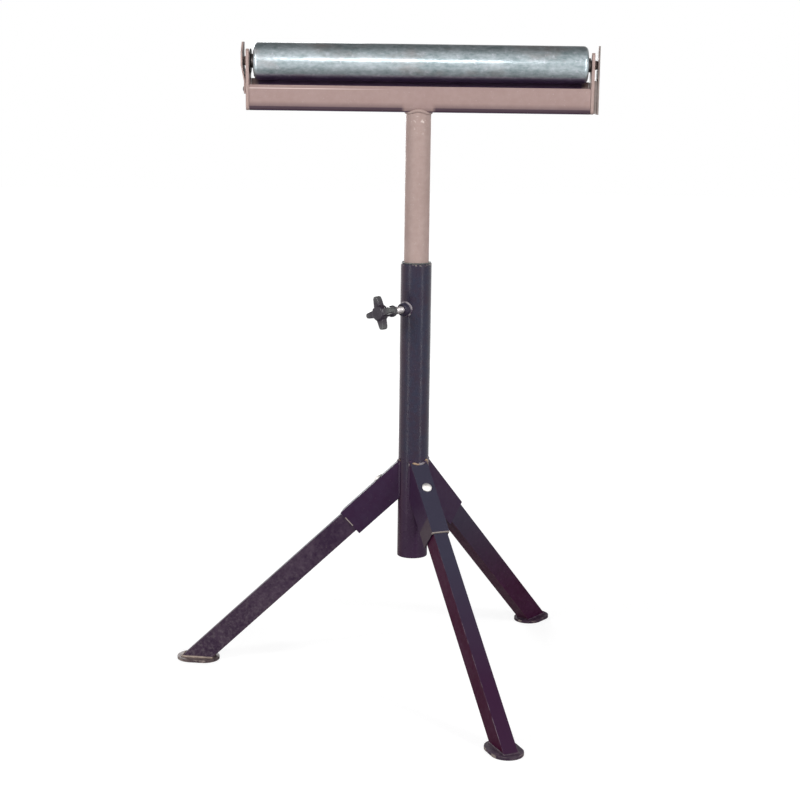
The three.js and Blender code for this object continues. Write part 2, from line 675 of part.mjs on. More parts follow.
let balls = solidOf(
  tube(
    cageMiddle + cageHalf,
    cageMiddle - cageHalf,
    bearingMiddle - cageHalf,
    bearingMiddle + cageHalf,
    SMALL_ROUND,
  ),
);
for (let ball = 0; ball < BALL_COUNT; ball += 1) {
  const angle = (2 * Math.PI * ball) / BALL_COUNT;
  const sphere = new THREE.SphereGeometry(ballRadius, BALL_ROUND, BALL_RINGS);
  sphere.translate(cageMiddle * Math.cos(angle), cageMiddle * Math.sin(angle), bearingMiddle);
  balls = balls.add(solidOf(sphere));
}
for (const [name, turn] of [["right", 0], ["left", Math.PI]]) {
  const end = new THREE.Group();
  end.rotation.z = turn;
  roller.add(end);
  place(end, `bearing_cup_${name}`, solidOf(alongX(turned(cupOutline, SMALL_ROUND))), DARK_STEEL);
  place(end, `bearing_cone_${name}`, solidOf(alongX(turned(coneOutline, SMALL_ROUND))), DARK_STEEL);
  place(end, `bearing_balls_${name}`, solidOf(alongX(geometryOf(balls))), BRIGHT_STEEL);
}

// Bring the middle of the floor area under the stand to the origin
const bounds = new THREE.Box3().setFromObject(stand, true);
const middle = bounds.getCenter(new THREE.Vector3());
for (const piece of stand.children) {
  piece.position.x -= middle.x;
  piece.position.y -= middle.y;
}

export default stand;
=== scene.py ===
"""Looks of the tripod roller stand: surfaces, rounded edges, weld beads, thread, camera and light."""

import json
import math
import random
from typing import NamedTuple

import bpy
from mathutils import Matrix, Vector


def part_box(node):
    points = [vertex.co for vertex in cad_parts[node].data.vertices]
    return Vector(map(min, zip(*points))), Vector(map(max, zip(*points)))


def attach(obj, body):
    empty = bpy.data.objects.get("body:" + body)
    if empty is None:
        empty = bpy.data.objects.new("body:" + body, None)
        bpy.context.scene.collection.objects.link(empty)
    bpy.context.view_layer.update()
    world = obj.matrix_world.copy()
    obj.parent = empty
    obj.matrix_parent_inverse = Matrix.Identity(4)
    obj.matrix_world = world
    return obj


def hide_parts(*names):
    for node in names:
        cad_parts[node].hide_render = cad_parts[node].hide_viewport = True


MM = 0.001
FULL_TURN = 2.0 * math.pi
UP = Vector((0.0, 0.0, 1.0))
RIGHT = Vector((1.0, 0.0, 0.0))
BACK = Vector((0.0, 1.0, 0.0))


class Noise(NamedTuple):
    """Scale, detail and roughness of a noise."""

    scale: float
    detail: float
    rough: float = 0.55


class Patches(NamedTuple):
    """A noise that turns into patches, and the values between which they fade in."""

    noise: Noise
    low: float
    high: float


class Fade(NamedTuple):
    """Where a layer starts, where it is full, and how strong it is there."""

    start: float
    full: float
    strength: float = 1.0


class Grain(NamedTuple):
    """Fine relief of a surface: its noise, strength and height."""

    noise: Noise
    strength: float
    height: float


class Finish(NamedTuple):
    """How worn, how rough and how reflective a paint is."""

    wear: float
    rough: float
    specular: float


# Camera, measured from the column's axis on the floor
CAMERA_PLACE = (5.9 * MM, -2259.0 * MM, 829.75 * MM)
CAMERA_LEVEL = 90.0
CAMERA_PITCH = 11.15
CAMERA_HEADING = 0.64
CAMERA_ROLL = 0.75
CAMERA_LENS = 76.68
CAMERA_NEAR = 10.0 * MM
SENSOR_WIDTH = 36.0

# Shared sizes of the solids
LEG_SLOPE = math.radians(43.96)
LEG_HALF_WIDTH = 10.0 * MM
LEG_HALF_DEPTH = 15.0 * MM
SLEEVE_HALF_WIDTH = 12.3 * MM
SLEEVE_DEPTH = 38.3 * MM
SLEEVE_LENGTH = 108.0 * MM
COLUMN_TAIL = 132.0 * MM
CRADLE_BEND = 6.0 * MM
CHANNEL_SHEET = 3.0 * MM
LIP_HEIGHT = 28.7 * MM
LEG_SIDES = ("front", "rear", "left")

# Weld beads, with ripple, swell, jitter and tips as shares of the radius
BEAD_RADIUS = 1.9 * MM
SMALL_BEAD_RADIUS = 1.5 * MM
POST_BEAD_RADIUS = 2.2 * MM
BEAD_SIDES = 10
BEAD_STEP = 0.5 * MM
BEAD_RIPPLE = 0.06
BEAD_RIPPLE_LENGTH = 2.2 * MM
BEAD_SWELL = 0.13
BEAD_SWELL_LENGTH = 9.0 * MM
BEAD_JITTER = 0.03
BEAD_TIP = 0.35
BEAD_TIP_STEPS = 5.0
RANDOM_SEED = 7

# A direction that no bead follows, to build its sides from
BEAD_REFERENCE = Vector((0.31, 0.23, 0.92))

# Weld seams: the steps in each, and how far it stands off the solids
SLEEVE_SEAM_STEPS = 24
POST_SEAM_STEPS = 72
BOSS_SEAM_STEPS = 48
SLEEVE_SEAM_OUT = 0.4 * MM
FOOT_SEAM_RISE = 0.6 * MM
POST_SEAM_DROP = 0.3 * MM

# Thread of the clamp screw, with the share of its depth that is left at both ends
THREAD_PITCH = 1.5 * MM
THREAD_DEPTH = 0.75 * MM
THREAD_END_SHARE = 0.35
THREAD_SIDES = 48
THREAD_STEPS_PER_TURN = 10

# Edge rounding of the solids, by the start of the node's name
EDGE_WIDTHS = {
    "leg_": 2.0 * MM,
    "sleeve_": 0.7 * MM,
    "foot_": 1.2 * MM,
    "column_tube": 0.5 * MM,
    "guide_bush": 0.3 * MM,
    "clamp_boss": 0.5 * MM,
    "post_tube": 0.4 * MM,
    "cradle_channel": 0.9 * MM,
    "end_plate_": 0.7 * MM,
    "keeper_plate_": 0.6 * MM,
    "keeper_screw_": 0.3 * MM,
    "stop_spacer_": 0.4 * MM,
    "axle_stop_": 0.5 * MM,
    "axle_washer": 0.3 * MM,
    "bearing_cup_": 0.3 * MM,
    "bearing_cone_": 0.4 * MM,
    "bolt_nut_": 0.4 * MM,
}
EDGE_ANGLE = math.radians(32.0)
EDGE_SEGMENTS = 3
MERGE_DISTANCE = 0.005 * MM
KNOB_VOXEL = 0.55 * MM
KNOB_SMOOTHING = 0.5
KNOB_SMOOTHING_STEPS = 10

# Colours of the black pieces
COLUMN_TONES = ((0.036, 0.024, 0.044), (0.030, 0.030, 0.056))
SLEEVE_TONES = ((0.034, 0.012, 0.040), (0.038, 0.018, 0.048))
# The maroon in the front and rear legs' tones is painted shade, the colour of their faces in shade
LEG_TONES = {
    "front": ((0.046, 0.003, 0.022), (0.058, 0.012, 0.036)),
    "rear": ((0.034, 0.003, 0.022), (0.050, 0.010, 0.038)),
    "left": ((0.036, 0.018, 0.042), (0.072, 0.046, 0.074)),
}
FOOT_TONES = {
    "front": ((0.046, 0.026, 0.050), (0.092, 0.064, 0.086)),
    "rear": ((0.036, 0.014, 0.036), (0.070, 0.044, 0.066)),
    "left": ((0.070, 0.048, 0.058), (0.190, 0.145, 0.135)),
}
FOOT_WELD_TONES = {
    "front": ((0.050, 0.028, 0.050), (0.110, 0.078, 0.095)),
    "rear": ((0.036, 0.014, 0.036), (0.070, 0.044, 0.066)),
    "left": ((0.200, 0.155, 0.135), (0.400, 0.320, 0.270)),
}
PLASTIC_TONES = ((0.020, 0.012, 0.024), (0.036, 0.027, 0.040))
# Painted highlight on the ends of the knob's arms
PLASTIC_ARM_HIGHLIGHT = (0.130, 0.135, 0.130)
LEG_SCUFF = (0.128, 0.100, 0.120)
# Painted bounce light on the legs' downward faces
LEG_UNDERSIDE_BOUNCE_LIGHT = (0.090, 0.030, 0.060)
# Rubbed paint and painted highlight on the front leg's edge
LEG_EDGE_WEAR_AND_HIGHLIGHT = (0.240, 0.195, 0.240)
# Dust, and the painted tint of top faces in the light
ENAMEL_DUST_AND_LIT_TINT = (0.042, 0.038, 0.064)
LOW_DUST_AND_LIT_TINT = (0.037, 0.010, 0.036)
FOOT_RIM = (0.30, 0.245, 0.225)
# Painted light on the column's left side
COLUMN_LIT_SIDE = (0.068, 0.033, 0.050)
COLUMN_LOW_TONE = (0.046, 0.022, 0.052)
# Rubbed paint and painted light on the front sleeve's side
SLEEVE_LIT_PATCH = (0.078, 0.055, 0.068)
SCRATCH = (0.15, 0.12, 0.125)
WELD_GREY = (0.30, 0.27, 0.29)
WELD_GOLD = (0.42, 0.29, 0.19)

# Colours of the taupe pieces
TAUPE_TONES = ((0.415, 0.300, 0.273), (0.455, 0.336, 0.308))
CRADLE_TONES = ((0.360, 0.248, 0.230), (0.385, 0.271, 0.252))
# A darker copy of the taupe for the right stop and its spacer: painted shade
SHADED_TONES = ((0.205, 0.165, 0.152), (0.295, 0.245, 0.228))
# Painted shade in the channel under the roller
CHANNEL_SHADE = (0.062, 0.024, 0.078)
KEEPER_SHADE = (0.11, 0.078, 0.072)
TAUPE_SCUFF = (0.62, 0.55, 0.52)
# Painted shade on the cradle's downward faces
TAUPE_UNDERSIDE_SHADE = (0.064, 0.037, 0.056)
SPATTER = (0.72, 0.61, 0.57)
# Rubbed paint and painted highlight under the cradle's lip
LIP_LINE_AND_HIGHLIGHT = (0.72, 0.59, 0.55)

# Colours of bare metal and zinc
ZINC_TONES = ((0.24, 0.30, 0.315), (0.52, 0.575, 0.61))
ZINC_STAIN = (0.36, 0.29, 0.275)
ZINC_BLOOM = (0.66, 0.68, 0.74)
# Painted shade on the roller's underside
ZINC_PAINTED_SHADE = (0.190, 0.078, 0.245)
PLATE_TONES = ((0.80, 0.77, 0.75), (0.92, 0.89, 0.87))
SCREW_TONES = ((0.46, 0.43, 0.43), (0.62, 0.58, 0.58))
OILED_TONES = ((0.08, 0.066, 0.066), (0.17, 0.15, 0.145))
AXLE_TONES = ((0.23, 0.175, 0.16), (0.34, 0.27, 0.25))
BARE_STEEL = (0.36, 0.31, 0.285)

# Finishes of the paints
COLUMN_FINISH = Finish(wear=0.4, rough=0.26, specular=0.20)
SLEEVE_FINISH = Finish(wear=0.4, rough=0.44, specular=0.14)
WELD_FINISH = Finish(wear=0.6, rough=0.46, specular=0.30)
FOOT_FINISH = Finish(wear=0.9, rough=0.50, specular=0.20)
FOOT_WELD_FINISH = Finish(wear=0.6, rough=0.50, specular=0.20)
LEG_FINISH = Finish(wear=0.8, rough=0.44, specular=0.10)
TAUPE_FINISH = Finish(wear=0.5, rough=0.50, specular=0.25)
STOP_FINISH = Finish(wear=0.4, rough=0.50, specular=0.25)
AXLE_FINISH = Finish(wear=0.4, rough=0.50, specular=0.30)

# What all paints share: clouds, specks, worn edges, sheen and grain
WIDE_CLOUDS = Noise(26.0, 4.0)
FINE_CLOUDS = Noise(150.0, 4.0)
CLOUD_FADE = Fade(0.80, 1.20)
SPECKS = Patches(Noise(420.0, 2.0), 0.66, 0.74)
SPECK_SHARE = 0.55
WORN_EDGES = Patches(Noise(95.0, 4.0), 0.54, 0.70)
WORN_EDGE_RADIUS = 1.6 * MM
WORN_EDGE_FADE = Fade(0.995, 0.90)
BEVEL_SAMPLES = 4
PAINT_SHEEN = Patches(Noise(60.0, 3.0), 0.3, 0.7)
PAINT_SMOOTHER = 0.08
PAINT_ROUGHER = 0.10
PAINT_GRAIN = Grain(Noise(900.0, 2.0), 0.10, 0.25 * MM)

# Layers of the legs and feet
DUST_LOW = 70.0 * MM
DUST_HIGH = 200.0 * MM
DUST_AND_LIT_FACING = Fade(0.15, 0.70)
FILM_HEIGHT = Fade(DUST_LOW, DUST_HIGH, 0.75)
SCUFF_SHARES = (0.10, 0.85)
SCUFF_PATCHES = Patches(Noise(240.0, 5.0, 0.65), 0.45, 0.66)
LEG_UNDERSIDE_BOUNCE_FACING = Fade(-0.2, -0.5, 0.9)
LEG_EDGE_HIGHLIGHT_FACING = Fade(0.22, 0.40)
LEG_EDGE_HIGHLIGHT_PATCHES = Patches(Noise(70.0, 4.0), 0.40, 0.58)
FOOT_RIM_FACING = Fade(0.95, 0.60)
FOOT_RIM_PATCHES = Patches(Noise(75.0, 4.0), 0.54, 0.62)

# Layers of the column and sleeves, with distances from the rim, the sleeves' height and the sleeve's end
COLUMN_LIT_SIDE_FACING = Fade(0.60, 1.0, 0.85)
COLUMN_RIM_GLINT_REACH = Fade(-2.6 * MM, -1.4 * MM)
COLUMN_RIM_GLINT_PATCHES = Patches(Noise(120.0, 3.0), 0.50, 0.56)
COLUMN_LOW_TONE_REACH = Fade(20.0 * MM, -40.0 * MM)
SLEEVE_END_REACH = Fade(-1.8 * MM, -0.9 * MM)
SLEEVE_LIT_PATCH_REACH = Fade(-26.0 * MM, -22.0 * MM)
SLEEVE_LIT_PATCH_FACING = Fade(0.7, 0.9, 0.9)
WELD_TOP_REACH = Fade(-3.0 * MM, -1.0 * MM)
SLEEVE_GREY_PATCHES = Patches(Noise(90.0, 3.0), 0.45, 0.55)
SLEEVE_GOLD_PATCHES = Patches(Noise(110.0, 3.0), 0.52, 0.60)
BOSS_GLINT_PATCHES = Patches(Noise(90.0, 3.0), 0.40, 0.48)

# Where the lower end of a sleeve is rubbed bare, from and to below its top
SLEEVE_WEAR = {"sleeve_front": (-2.0 * MM, 4.0 * MM), "sleeve_left": (9.0 * MM, 25.0 * MM)}
SLEEVE_WEAR_FADE = 1.0 * MM

# Layers of the post, cradle and keeper
SPATTER_REACH = Fade(-34.0 * MM, -18.0 * MM, 0.9)
SPATTER_PATCHES = Patches(Noise(170.0, 2.0), 0.62, 0.70)
CHANNEL_SHADE_SIDE_REACH = Fade(0.7 * MM, 0.3 * MM)
CHANNEL_SHADE_END_REACH = Fade(0.0, -6.0 * MM, 0.95)
KEEPER_SHADE_FACING = Fade(0.5, 0.8, 0.85)
CRADLE_UNDERSIDE_SHADE_FACING = Fade(-0.005, -0.17, 0.94)
POST_WELD_CLEAR = (1.0 * MM, 6.0 * MM)
POST_WELD_SHADE = 0.15
LIP_HIGHLIGHT_WIDTH = Fade(0.7 * MM, 0.3 * MM)
LIP_HIGHLIGHT_DEPTH = Fade(5.0 * MM, 3.0 * MM)
LIP_HIGHLIGHT_REACH = Fade(190.0 * MM, 80.0 * MM)

# Galvanised surface
ZINC_STRETCH = (0.5, 1.0, 1.0)
ZINC_CLOUDS = Noise(48.0, 4.0, 0.6)
ZINC_SPANGLE = Noise(230.0, 3.0, 0.6)
ZINC_FADE = Fade(0.72, 1.28)
ZINC_STAIN_PATCHES = Patches(Noise(30.0, 4.0, 0.6), 0.52, 0.72)
ZINC_BLOOM_PATCHES = Patches(Noise(120.0, 4.0, 0.6), 0.58, 0.72)
ZINC_PATCH_SHARE = 0.6
ZINC_PAINTED_SHADE_FACING = Fade(-0.62, -0.86, 0.8)
ZINC_SHEEN = Patches(Noise(70.0, 4.0), 0.3, 0.7)
ZINC_ROUGHNESS = (0.28, 0.33)
ZINC_GRAIN = Grain(Noise(180.0, 2.0), 0.03, 0.2 * MM)
ZINC_METALLIC = 0.8
ZINC_SPECULAR = 0.2

# Plain and plated steel
STEEL_SMEARS = Patches(Noise(160.0, 4.0), 0.35, 0.65)
STEEL_SHEEN = Patches(Noise(240.0, 3.0), 0.3, 0.7)
STEEL_GRAIN = Grain(Noise(1400.0, 2.0), 0.06, 0.15 * MM)
STEEL_SPECULAR = 0.5
PLATE_ROUGHNESS = (0.52, 0.66)
SCREW_ROUGHNESS = (0.34, 0.46)
OILED_ROUGHNESS = (0.38, 0.55)

# Moulded plastic, with the distance from the knob's middle over which a painted highlight turns its arms
# grey
PLASTIC_CLOUDS = Patches(Noise(140.0, 4.0), 0.4, 0.7)
PLASTIC_SHEEN = Patches(Noise(300.0, 3.0), 0.3, 0.7)
PLASTIC_ROUGHNESS = (0.20, 0.30)
PLASTIC_GRAIN = Grain(Noise(1100.0, 2.0), 0.05, 0.2 * MM)
PLASTIC_SPECULAR = 0.45
KNOB_HIGHLIGHT_REACH = Fade(15.0 * MM, 24.0 * MM, 0.8)

# Light
WHITE = (1.0, 1.0, 1.0)
LAMPS = {
    "key": {"place": (-0.10, -2.25, 1.38), "size": (1.1, 0.22), "energy": 11.5},
    "left": {"place": (-1.85, -1.6, 1.55), "size": (0.5, 0.5), "energy": 16.5},
    "right": {"place": (1.95, -1.6, 1.55), "size": (0.5, 0.5), "energy": 24.5},
    "left_strip": {"place": (-0.80, -0.72, 0.62), "size": (0.16, 1.2), "energy": 3.6},
    "right_strip": {"place": (0.90, -0.72, 0.62), "size": (0.09, 1.2), "energy": 2.6},
    "back": {"place": (-0.7, 2.3, 1.0), "size": (1.2, 0.9), "energy": 30.0},
}
LAMP_TARGET = (0.05, 0.0, 0.6)
AMBIENT = 0.24
CEILING_AXIS = (0.0, 0.5, 0.866)
CEILING_FROM = 0.38
CEILING_BY = 0.90
CEILING_LEVEL = 0.17

# Floor
FLOOR_HALF = 9.0
FLOOR_DROP = 0.5 * MM
FLOOR_COLOUR = (0.34, 0.34, 0.34)
FLOOR_ROUGHNESS = 0.9
FLOOR_LIFT = 0.80
FLOOR_WHITE_FROM = 0.7
FLOOR_WHITE_BY = 2.4
# Painted pool of shade: seen in reflections, the floor is darker near the stand
FLOOR_REFLECTED_SHADE = 0.06
FLOOR_REFLECTED_SHADE_FROM = 0.5
FLOOR_REFLECTED_SHADE_BY = 1.8

# Sockets of a node that mixes colours
MIX_FACTOR = 0
MIX_FIRST = 6
MIX_SECOND = 7
MIX_RESULT = 2

random.seed(RANDOM_SEED)

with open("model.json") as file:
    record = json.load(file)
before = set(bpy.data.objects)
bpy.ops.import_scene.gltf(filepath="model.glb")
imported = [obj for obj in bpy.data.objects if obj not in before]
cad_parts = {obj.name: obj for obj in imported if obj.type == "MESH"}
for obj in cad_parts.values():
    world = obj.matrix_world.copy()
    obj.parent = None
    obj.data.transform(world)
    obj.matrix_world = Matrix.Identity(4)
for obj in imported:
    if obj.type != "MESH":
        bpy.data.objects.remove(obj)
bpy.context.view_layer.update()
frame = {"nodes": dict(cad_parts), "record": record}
nodes = frame["nodes"]


def middle(name):
    """Middle of a node's box."""
    low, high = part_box(name)
    return (Vector(low) + Vector(high)) / 2


def on_floor(point):
    """The point on the floor below a point."""
    return Vector((point.x, point.y, 0.0))


def side_of(point):
    """Azimuth of a point around the column."""
    return math.atan2(point.y - AXIS.y, point.x - AXIS.x)


def outward(azimuth):
    """Level direction away from the column."""
    return Vector((math.cos(azimuth), math.sin(azimuth), 0.0))


def half_height(name):
    """Half the height of a node's box."""
    low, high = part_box(name)
    return (high[2] - low[2]) / 2


column_low, column_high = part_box("column_tube")
AXIS = on_floor(middle("column_tube"))
COLUMN_RADIUS = (column_high[0] - column_low[0]) / 2
SLEEVE_HEIGHT = column_low[2] + COLUMN_TAIL
cradle_low, cradle_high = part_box("cradle_channel")
CRADLE_HALF_DEPTH = (cradle_high[1] - cradle_low[1]) / 2
post_low, post_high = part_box("post_tube")
POST_RADIUS = (post_high[0] - post_low[0]) / 2
roller_low, roller_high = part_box("roller_tube")
ROLLER_HALF_LENGTH = (roller_high[0] - roller_low[0]) / 2
BOSS_RADIUS = half_height("clamp_boss")
STUD_RADIUS = half_height("clamp_stud")
stud_low, stud_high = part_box("clamp_stud")
STUD_MIDDLE = middle("clamp_stud")
CLAMP_AZIMUTH = side_of(STUD_MIDDLE)
CLAMP_OUT = outward(CLAMP_AZIMUTH)
STUD_REACH = stud_high[0] - stud_low[0] - 2.0 * STUD_RADIUS * abs(CLAMP_OUT.y)
STUD_LENGTH = STUD_REACH / abs(CLAMP_OUT.x)
FOOT_THICKNESS = 2.0 * half_height("foot_front")
FOOT_RADIUS = (on_floor(middle("foot_front")) - AXIS).length


class Nodes:
    """A node tree under construction, with short calls for its nodes."""

    def __init__(self, tree):
        self.tree = tree

    def add(self, kind, **settings):
        """A new node with its settings."""
        node = self.tree.nodes.new(kind)
        for key, value in settings.items():
            setattr(node, key, value)
        return node

    def put(self, node, socket, value):
        """Link or set one input of a node."""
        target = node.inputs[socket]
        if isinstance(value, bpy.types.NodeSocket):
            self.tree.links.new(value, target)
        elif isinstance(value, tuple) and len(value) == 3 and target.type == "RGBA":
            target.default_value = (*value, 1.0)
        else:
            target.default_value = value

    def ramp(self, value, low, high, start=0.0, end=1.0):
        """A value mapped from one range to another."""
        node = self.add("ShaderNodeMapRange")
        self.put(node, "Value", value)
        self.put(node, "From Min", low)
        self.put(node, "From Max", high)
        self.put(node, "To Min", start)
        self.put(node, "To Max", end)
        return node.outputs["Result"]

    def fade(self, value, fade):
        """Strength of a layer that fades in with a value."""
        return self.ramp(value, fade.start, fade.full, 0.0, fade.strength)

    def maths(self, operation, first, second=0.0):
        """One step of arithmetic."""
        node = self.add("ShaderNodeMath", operation=operation)
        self.put(node, 0, first)
        self.put(node, 1, second)
        return node.outputs["Value"]

    def times(self, first, second):
        """The product of two values."""
        return self.maths("MULTIPLY", first, second)

    def beyond(self, value, limit):
        """How far a value is past a limit."""
        return self.maths("SUBTRACT", value, limit)

    def mix(self, factor, first, second):
        """A mix of two colours."""
        node = self.add("ShaderNodeMix", data_type="RGBA")
        self.put(node, MIX_FACTOR, factor)
        self.put(node, MIX_FIRST, first)
        self.put(node, MIX_SECOND, second)
        return node.outputs[MIX_RESULT]

    def vectors(self, operation, first, second):
        """A number made from two vectors."""
        node = self.add("ShaderNodeVectorMath", operation=operation)
        self.put(node, 0, first)
        self.put(node, 1, second)
        return node.outputs["Value"]

    def dot(self, first, second):
        """The dot product of two vectors."""
        return self.vectors("DOT_PRODUCT", first, second)

    def background_rays(self):
        """Two values that are one for rays that see the background, directly and in metal or glass."""
        path = self.add("ShaderNodeLightPath").outputs
        mirrored = self.maths("MAXIMUM", path["Is Glossy Ray"], path["Is Transmission Ray"])
        return path["Is Camera Ray"], mirrored


class Shader(Nodes):
    """A material under construction."""

    def __init__(self, name):
        self.material = bpy.data.materials.new(name)
        self.material.use_nodes = True
        super().__init__(self.material.node_tree)
        self.surface = self.tree.nodes["Principled BSDF"]
        self.place = self.add("ShaderNodeTexCoord").outputs["Object"]
        self.normal = self.add("ShaderNodeNewGeometry").outputs["Normal"]

    def stretched(self, scale):
        """The place on the object, scaled along each axis."""
        mapping = self.add("ShaderNodeMapping")
        self.put(mapping, "Vector", self.place)
        self.put(mapping, "Scale", scale)
        return mapping.outputs["Vector"]

    def noise(self, look, vector=None):
        """A cloudy value between zero and one."""
        node = self.add("ShaderNodeTexNoise")
        self.put(node, "Vector", vector or self.place)
        self.put(node, "Scale", look.scale)
        self.put(node, "Detail", look.detail)
        self.put(node, "Roughness", look.rough)
        return node.outputs["Fac"]

    def patches(self, look, start=0.0, end=1.0, vector=None):
        """A value that rises in patches."""
        return self.ramp(self.noise(look.noise, vector), look.low, look.high, start, end)

    def facing(self, direction):
        """How much a face points in one direction."""
        return self.dot(self.normal, tuple(direction))

    def along(self, start, direction):
        """Distance from a point in one direction."""
        return self.beyond(self.dot(self.place, tuple(direction)), start.dot(direction))

    def away(self, start, direction):
        """Distance from a point in one direction or the opposite one."""
        return self.maths("ABSOLUTE", self.along(start, direction))

    def height(self):
        """Height above the floor."""
        return self.along(Vector(), UP)

    def distance(self, point):
        """Distance from a point in any direction."""
        return self.vectors("DISTANCE", self.place, tuple(point))

    def edges(self, radius, fade):
        """Near one along sharp outer and inner edges."""
        bevel = self.add("ShaderNodeBevel", samples=BEVEL_SAMPLES)
        self.put(bevel, "Radius", radius)
        return self.fade(self.dot(bevel.outputs["Normal"], self.normal), fade)

    def grain(self, look):
        """Fine relief on the surface."""
        node = self.add("ShaderNodeBump")
        self.put(node, "Height", self.noise(look.noise))
        self.put(node, "Strength", look.strength)
        self.put(node, "Distance", look.height)
        self.put(self.surface, "Normal", node.outputs["Normal"])

    def finish(self, colour, roughness, metallic, specular):
        """Set the surface and return its material."""
        self.put(self.surface, "Base Color", colour)
        self.put(self.surface, "Roughness", roughness)
        self.put(self.surface, "Metallic", metallic)
        self.put(self.surface, "Specular IOR Level", specular)
        return self.material


def paint(name, tones, chip, finish, layers=()):
    """Enamel with soft clouds, specks and bare edges, then any layers of its own."""
    s = Shader(name)
    clouds = s.maths("ADD", s.noise(WIDE_CLOUDS), s.noise(FINE_CLOUDS))
    base = s.mix(s.fade(clouds, CLOUD_FADE), *tones)
    base = s.mix(s.times(s.patches(SPECKS), SPECK_SHARE * finish.wear), base, chip)
    for layer in layers:
        factor, colour = layer(s)
        base = s.mix(factor, base, colour)
    worn = s.times(s.edges(WORN_EDGE_RADIUS, WORN_EDGE_FADE), s.patches(WORN_EDGES))
    base = s.mix(s.times(worn, finish.wear), base, chip)
    roughness = s.patches(PAINT_SHEEN, finish.rough - PAINT_SMOOTHER, finish.rough + PAINT_ROUGHER)
    s.grain(PAINT_GRAIN)
    return s.finish(base, roughness, 0.0, finish.specular)


def dust_and_lit_tint(s):
    """A film on what faces up, blue-grey high and purple low down: dust, and the painted tint of top
    faces in the light.
    """
    high = s.ramp(s.height(), DUST_LOW, DUST_HIGH)
    return s.fade(s.facing(UP), DUST_AND_LIT_FACING), s.mix(high, LOW_DUST_AND_LIT_TINT, ENAMEL_DUST_AND_LIT_TINT)


def film(s):
    """A blue-grey film on all sides, high on a leg."""
    return s.fade(s.height(), FILM_HEIGHT), ENAMEL_DUST_AND_LIT_TINT


def scuffs(s):
    """Grey scuffs on a leg, thicker towards its foot."""
    low = s.ramp(s.height(), DUST_HIGH, 0.0, *SCUFF_SHARES)
    return s.times(low, s.patches(SCUFF_PATCHES)), LEG_SCUFF


def underside_bounce_light(s):
    """Painted bounce light: a paler, reddish tone on the side of a leg that faces down."""
    return s.fade(s.facing(UP), LEG_UNDERSIDE_BOUNCE_FACING), LEG_UNDERSIDE_BOUNCE_LIGHT


def rubbed_edge_and_highlight(s):
    """A pale line low on the front leg's upper left edge: rubbed paint and a painted edge highlight."""
    out = outward(side_of(middle("foot_front")))
    left = out.cross(UP)
    top = out * math.sin(LEG_SLOPE) + UP * math.cos(LEG_SLOPE)
    edge = s.fade(s.times(s.facing(left), s.facing(top)), LEG_EDGE_HIGHLIGHT_FACING)
    low = s.ramp(s.height(), DUST_HIGH, DUST_LOW)
    return s.times(s.times(low, s.patches(LEG_EDGE_HIGHLIGHT_PATCHES)), edge), LEG_EDGE_WEAR_AND_HIGHLIGHT


def rubbed_rim(s):
    """Bare patches on upright sides."""
    upright = s.fade(s.maths("ABSOLUTE", s.facing(UP)), FOOT_RIM_FACING)
    return s.times(upright, s.patches(FOOT_RIM_PATCHES)), FOOT_RIM


def lit_side_tint(s):
    """A paler, brownish tone down the column's left side: painted light."""
    return s.fade(s.facing(-RIGHT), COLUMN_LIT_SIDE_FACING), COLUMN_LIT_SIDE


def worn_rim_and_glints(s):
    """Bare spots along the column's upper rim, which also stand as painted highlights."""
    rim = s.fade(s.along(Vector(column_high), UP), COLUMN_RIM_GLINT_REACH)
    return s.times(rim, s.patches(COLUMN_RIM_GLINT_PATCHES)), BARE_STEEL


def column_low_tone(s):
    """A redder tone on the column from the sleeves down, between the legs."""
    return s.fade(s.along(UP * SLEEVE_HEIGHT, UP), COLUMN_LOW_TONE_REACH), COLUMN_LOW_TONE


def weld_flecks(colour, patches):
    """Patches of a weld where paint came off."""
    def layer(s):
        top = s.fade(s.along(UP * SLEEVE_HEIGHT, UP), WELD_TOP_REACH)
        return s.times(top, s.patches(patches)), colour
    return layer


def bare_end(start, direction, down, span):
    """A rubbed line at the far end of a sleeve, over a span of its depth."""
    first, last = span

    def layer(s):
        line = s.fade(s.along(start + direction * SLEEVE_LENGTH, direction), SLEEVE_END_REACH)
        depth = s.along(start, down)
        begins = s.ramp(depth, first, first + SLEEVE_WEAR_FADE)
        stops = s.ramp(depth, last, last - SLEEVE_WEAR_FADE)
        return s.times(line, s.times(begins, stops)), BARE_STEEL
    return layer


def rubbed_and_lit_patch(start, direction):
    """A paler patch on the last part of a sleeve's left side: rubbed paint and painted light."""
    left = direction.cross(UP).normalized()

    def layer(s):
        low = s.fade(s.along(start + direction * SLEEVE_LENGTH, direction), SLEEVE_LIT_PATCH_REACH)
        return s.times(low, s.fade(s.facing(left), SLEEVE_LIT_PATCH_FACING)), SLEEVE_LIT_PATCH
    return layer


def spatter(s):
    """Pale spots on the post, close under its weld."""
    near = s.fade(s.along(Vector(post_high), UP), SPATTER_REACH)
    return s.times(near, s.patches(SPATTER_PATCHES)), SPATTER


def underside_shade(s):
    """Painted shade on what faces down, except around the weld of the post."""
    below = s.fade(s.facing(UP), CRADLE_UNDERSIDE_SHADE_FACING)
    from_post = s.beyond(s.away(AXIS, RIGHT), POST_RADIUS)
    return s.times(below, s.ramp(from_post, *POST_WELD_CLEAR, POST_WELD_SHADE, 1.0)), TAUPE_UNDERSIDE_SHADE


